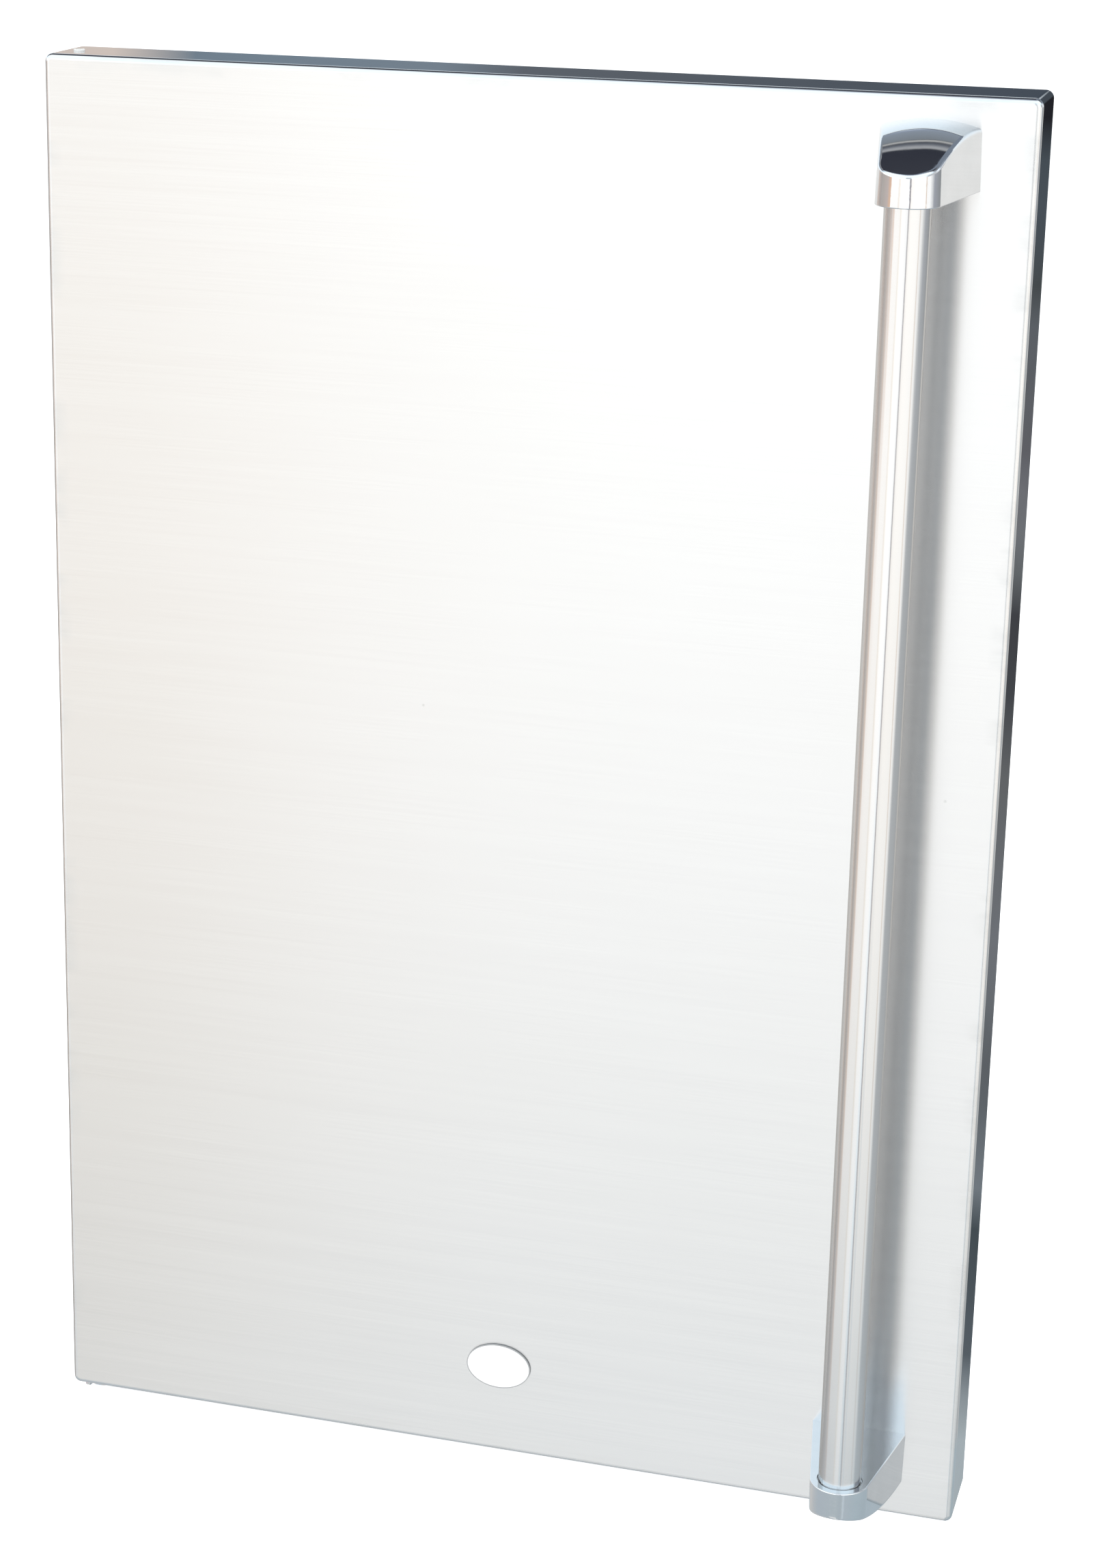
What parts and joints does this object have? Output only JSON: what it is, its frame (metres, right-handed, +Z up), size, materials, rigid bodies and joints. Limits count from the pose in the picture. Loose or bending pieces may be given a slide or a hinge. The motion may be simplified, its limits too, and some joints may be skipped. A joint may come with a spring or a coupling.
{
  "type": "undercounter refrigerator door",
  "caption": "Insulated stainless steel door for an undercounter refrigerator, with a bar handle, magnetic gasket, lift-out racks and a pinned lower hinge.",
  "frame": {"origin": "centre of the lower hinge plate's four bolt holes, on the top face that meets the cabinet's underside", "axes": "+X from the hinge side to the handle side, +Y from the user towards the cabinet, +Z up"},
  "size_m": [0.508, 0.217, 0.7632],
  "materials": {
    "skin_steel": "satin",
    "foam": "matte",
    "liner_plastic": "satin",
    "gasket_vinyl": "matte",
    "magnet_strip": "matte",
    "fixing_steel": "satin",
    "bush_nylon": "satin",
    "zinc_steel": "satin",
    "pin_steel": "polished",
    "tube_steel": "satin",
    "bracket_chrome": "polished",
    "adhesive_pad": "matte",
    "badge_metal": "polished",
    "badge_face": "gloss",
    "rack_plastic": "satin",
    "rail_chrome": "polished"
  },
  "bodies": {
    "hinge_base": {"hinge_plate": "zinc_steel", "hinge_pin": "pin_steel", "hinge_washer": "bush_nylon"},
    "door": {"door_skin": "skin_steel", "foam_core": "foam", "inner_liner": "liner_plastic", "gasket": "gasket_vinyl", "gasket_magnets": "magnet_strip", "liner_screws": "fixing_steel", "upper_hinge_bush": "bush_nylon", "lower_hinge_bush": "bush_nylon", "upper_hinge_reinforcement": "zinc_steel", "lower_hinge_reinforcement": "zinc_steel", "door_stop": "zinc_steel", "door_stop_screws": "fixing_steel", "handle_tube": "tube_steel", "upper_handle_bracket": "bracket_chrome", "lower_handle_bracket": "bracket_chrome", "handle_grub_screws": "fixing_steel", "handle_screws": "fixing_steel", "handle_washers": "fixing_steel", "upper_handle_backing_plate": "zinc_steel", "lower_handle_backing_plate": "zinc_steel", "badge_adhesive": "adhesive_pad", "badge_bezel": "badge_metal", "badge_insert": "badge_face"},
    "top_rack_unit": {"top_rack": "rack_plastic"},
    "middle_rack_unit": {"middle_rack": "rack_plastic"},
    "bottle_rack_unit": {"bottle_rack": "rack_plastic", "bottle_rack_rail": "rail_chrome"}
  },
  "joints": [
    {"name": "door_swing", "type": "hinge", "parent": "hinge_base", "child": "door", "pos_m": [-0.02, -0.054, 0], "axis": [0, 0, -1], "range_deg": [0, 120]},
    {"name": "top_rack_lift", "type": "slide", "parent": "door", "child": "top_rack_unit", "axis": [0, 0, 1], "range_m": [0, 0.03]},
    {"name": "middle_rack_lift", "type": "slide", "parent": "door", "child": "middle_rack_unit", "axis": [0, 0, 1], "range_m": [0, 0.03]},
    {"name": "bottle_rack_lift", "type": "slide", "parent": "door", "child": "bottle_rack_unit", "axis": [0, 0, 1], "range_m": [0, 0.03]}
  ]
}
